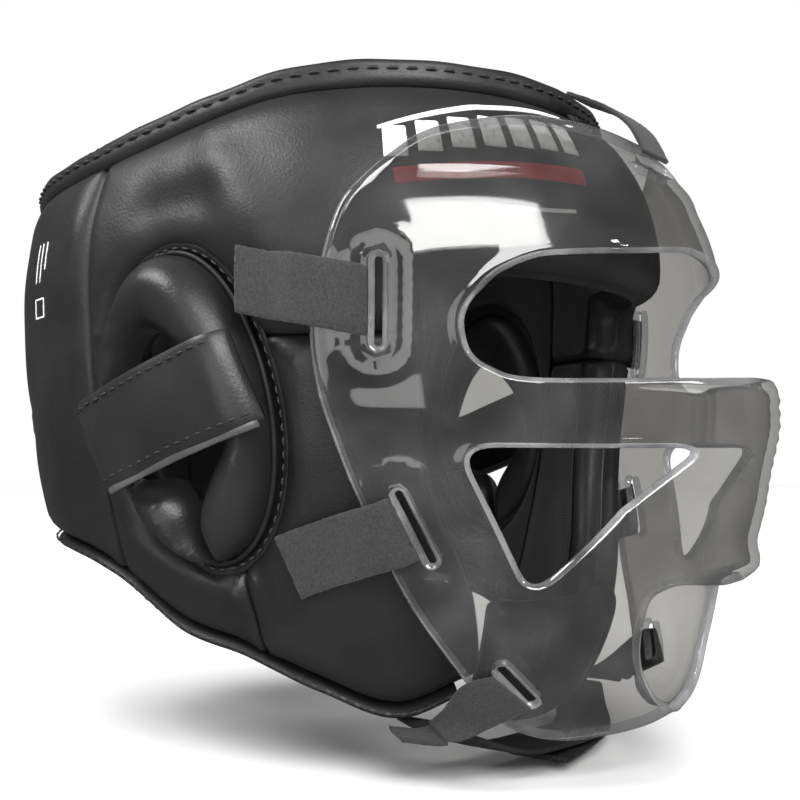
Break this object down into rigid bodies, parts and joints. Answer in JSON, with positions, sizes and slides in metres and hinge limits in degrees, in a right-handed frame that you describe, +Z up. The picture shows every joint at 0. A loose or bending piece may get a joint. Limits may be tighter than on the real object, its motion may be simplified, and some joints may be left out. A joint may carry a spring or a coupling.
{
  "type": "boxing headgear",
  "caption": "Padded head guard with open ear pads, crown flaps, a chin strap and a clear moulded face mask held on by hook-and-loop tapes.",
  "frame": {"origin": "middle of the head inside the guard, halfway between the ear openings", "axes": "+Z up, -Y the way the wearer faces, -X the wearer's right"},
  "size_m": [0.2346, 0.2948, 0.2405],
  "materials": {
    "leather": "satin black artificial leather, fine grain",
    "foam": "closed-cell foam under the cover",
    "lining": "matt black lining",
    "binding": "folded edge binding, stitched",
    "hook_tape": "fuzzy hook-and-loop tape",
    "clear_plastic": "clear moulded polycarbonate, glossy"
  },
  "bodies": {
    "shell": {"shell_cover": "leather", "forehead_foam": "foam", "side_foam_right": "foam", "side_foam_left": "foam", "forehead_lining": "lining", "side_lining_right": "lining", "side_lining_left": "lining", "cheek_cover_right": "leather", "cheek_cover_left": "leather", "rear_cover_right": "leather", "rear_cover_left": "leather", "cheek_foam_right": "foam", "cheek_foam_left": "foam", "rear_foam_right": "foam", "rear_foam_left": "foam", "cheek_lining_right": "lining", "cheek_lining_left": "lining", "rear_lining_right": "lining", "rear_lining_left": "lining", "ear_flange_right": "binding", "ear_flange_left": "binding", "ear_ring_right": "leather", "ear_ring_left": "leather", "ear_band_right": "leather", "ear_band_left": "leather", "top_rim_binding": "binding", "crown_flap_front": "leather", "crown_flap_rear": "leather", "crown_patch": "hook_tape", "bottom_binding_right": "binding", "bottom_binding_left": "binding", "temple_patch_right": "hook_tape", "temple_patch_left": "hook_tape", "cheek_patch_right": "hook_tape", "cheek_patch_left": "hook_tape", "forehead_patch": "hook_tape", "chin_strap_right": "binding", "chin_pad": "leather", "rear_patch": "hook_tape"},
    "mask": {"face_mask": "clear_plastic"},
    "temple_tape_right": {"temple_tape_right": "hook_tape"},
    "temple_tape_left": {"temple_tape_left": "hook_tape"},
    "cheek_tape_right": {"cheek_tape_right": "hook_tape"},
    "cheek_tape_left": {"cheek_tape_left": "hook_tape"},
    "jaw_tape_right": {"jaw_tape_right": "hook_tape"},
    "jaw_tape_left": {"jaw_tape_left": "hook_tape"},
    "forehead_tape": {"forehead_tape": "hook_tape"},
    "chin_strap": {"chin_strap_left": "binding"},
    "rear_strap": {"rear_strap": "hook_tape"},
    "crown_tab": {"crown_tab": "hook_tape"}
  },
  "joints": [
    {"name": "mask_lift_off", "type": "slide", "parent": "shell", "child": "mask", "axis": [0, -1, 0], "range_m": [0, 0.15]},
    {"name": "temple_tape_right_peel", "type": "hinge", "parent": "mask", "child": "temple_tape_right", "pos_m": [-0.09316, -0.08965, 0.0305], "axis": [-0.0371, -0.0357, 0.9987], "range_deg": [0, 100]},
    {"name": "temple_tape_left_peel", "type": "hinge", "parent": "mask", "child": "temple_tape_left", "pos_m": [0.09316, -0.08965, 0.0305], "axis": [-0.0371, 0.0357, -0.9987], "range_deg": [0, 100]},
    {"name": "cheek_tape_right_peel", "type": "hinge", "parent": "mask", "child": "cheek_tape_right", "pos_m": [-0.07991, -0.09356, -0.0355], "axis": [-0.3588, 0.2983, 0.8845], "range_deg": [0, 100]},
    {"name": "cheek_tape_left_peel", "type": "hinge", "parent": "mask", "child": "cheek_tape_left", "pos_m": [0.07991, -0.09356, -0.0355], "axis": [-0.3588, -0.2983, -0.8845], "range_deg": [0, 100]},
    {"name": "jaw_tape_right_peel", "type": "hinge", "parent": "mask", "child": "jaw_tape_right", "pos_m": [-0.05264, -0.11218, -0.084], "axis": [-0.62, 0.3626, 0.6958], "range_deg": [0, 90]},
    {"name": "jaw_tape_left_peel", "type": "hinge", "parent": "mask", "child": "jaw_tape_left", "pos_m": [0.05264, -0.11218, -0.084], "axis": [-0.62, -0.3626, -0.6958], "range_deg": [0, 90]},
    {"name": "forehead_tape_peel", "type": "hinge", "parent": "mask", "child": "forehead_tape", "pos_m": [0, -0.134, 0.0835], "axis": [1, 0, 0], "range_deg": [0, 110]},
    {"name": "chin_strap_open", "type": "hinge", "parent": "shell", "child": "chin_strap", "pos_m": [0.052, -0.078, -0.102], "axis": [0, -1, 0], "range_deg": [0, 80]},
    {"name": "rear_strap_open", "type": "hinge", "parent": "shell", "child": "rear_strap", "pos_m": [0.0639, 0.102, 0.014], "axis": [0, 0, -1], "range_deg": [0, 110]},
    {"name": "crown_tab_open", "type": "hinge", "parent": "shell", "child": "crown_tab", "pos_m": [0, 0.033, 0.1232], "axis": [-1, 0, 0], "range_deg": [0, 110]}
  ]
}
